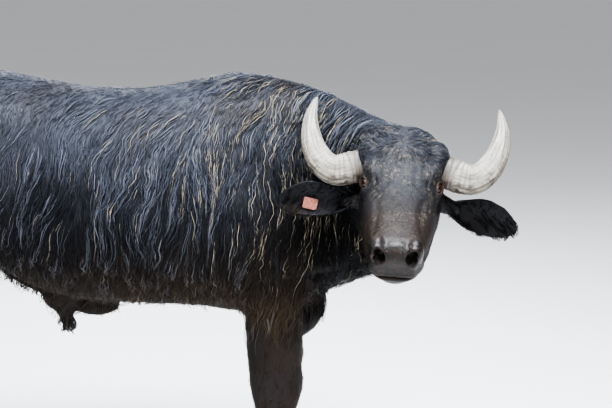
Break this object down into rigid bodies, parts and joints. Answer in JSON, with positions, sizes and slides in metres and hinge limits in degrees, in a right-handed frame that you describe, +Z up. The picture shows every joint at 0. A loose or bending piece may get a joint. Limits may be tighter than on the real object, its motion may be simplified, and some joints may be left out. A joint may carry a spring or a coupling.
{
  "type": "water buffalo",
  "caption": "Life-size standing water buffalo bull with crescent horns, long shaggy dark coat and its head turned to its right; a still display model.",
  "frame": {"origin": "on the floor between the hooves, under the middle of the model's bounding box", "axes": "+X from rump to chest along the body, +Y to the animal's left, +Z up; the head is turned to the animal's right, towards -Y"},
  "size_m": [2.3006, 1.059, 1.3607],
  "materials": {
    "hide": "matt black-grey hide under a long coarse coat",
    "horn": "pale ridged horn, satin",
    "hoof": "dark dull hoof horn",
    "eye": "wet dark brown eye",
    "tag": "bare salmon-pink ear tag"
  },
  "bodies": {
    "root": {"torso": "hide", "neck": "hide", "head": "hide", "foreleg_left": "hide", "foreleg_right": "hide", "hindleg_left": "hide", "hindleg_right": "hide", "tail": "hide", "ear_left": "hide", "ear_right": "hide", "eye_left": "eye", "eye_right": "eye", "horn_left": "horn", "horn_right": "horn", "ear_tag": "tag", "hoof_fore_left_inner": "hoof", "hoof_fore_left_outer": "hoof", "hoof_fore_right_inner": "hoof", "hoof_fore_right_outer": "hoof", "hoof_hind_left_inner": "hoof", "hoof_hind_left_outer": "hoof", "hoof_hind_right_inner": "hoof", "hoof_hind_right_outer": "hoof"}
  },
  "joints": []
}
